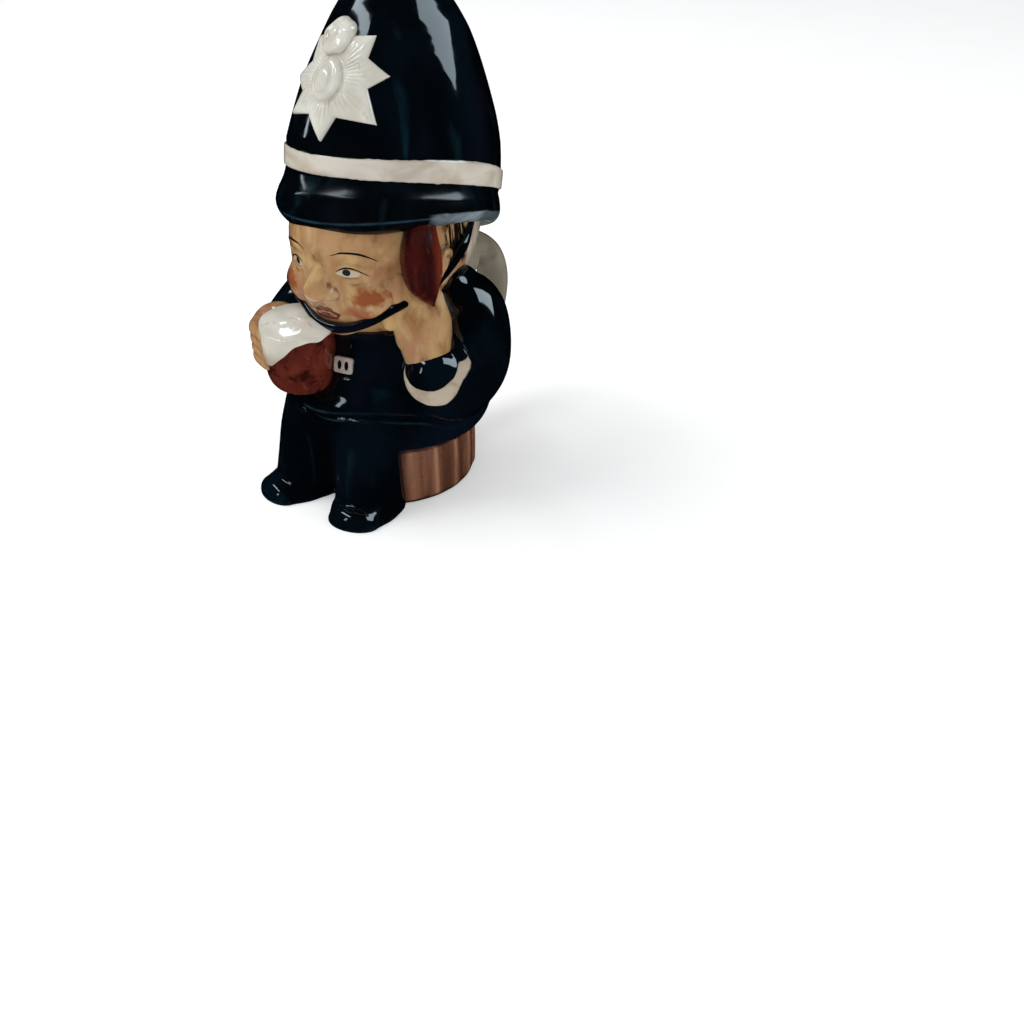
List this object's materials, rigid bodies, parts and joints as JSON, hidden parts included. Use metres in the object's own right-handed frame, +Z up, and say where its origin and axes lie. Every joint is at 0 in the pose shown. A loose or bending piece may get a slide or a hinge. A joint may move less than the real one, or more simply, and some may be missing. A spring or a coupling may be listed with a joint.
{
  "type": "figural milk jug",
  "caption": "Figural milk jug: a policeman seated on a barrel, drinking, with a handle at his back and an open helmet top with a pouring lip",
  "frame": {"origin": "middle of the bounding box in plan, on the surface that the jug stands on", "axes": "+Z up; the figure faces -Y, and its left hand is at +X; the handle is at +Y"},
  "size_m": [0.0892, 0.115, 0.157],
  "materials": {
    "glaze": "coloured glazes, mostly near-black navy, under a clear gloss glaze"
  },
  "bodies": {
    "root": {"jug": "glaze"}
  },
  "joints": []
}
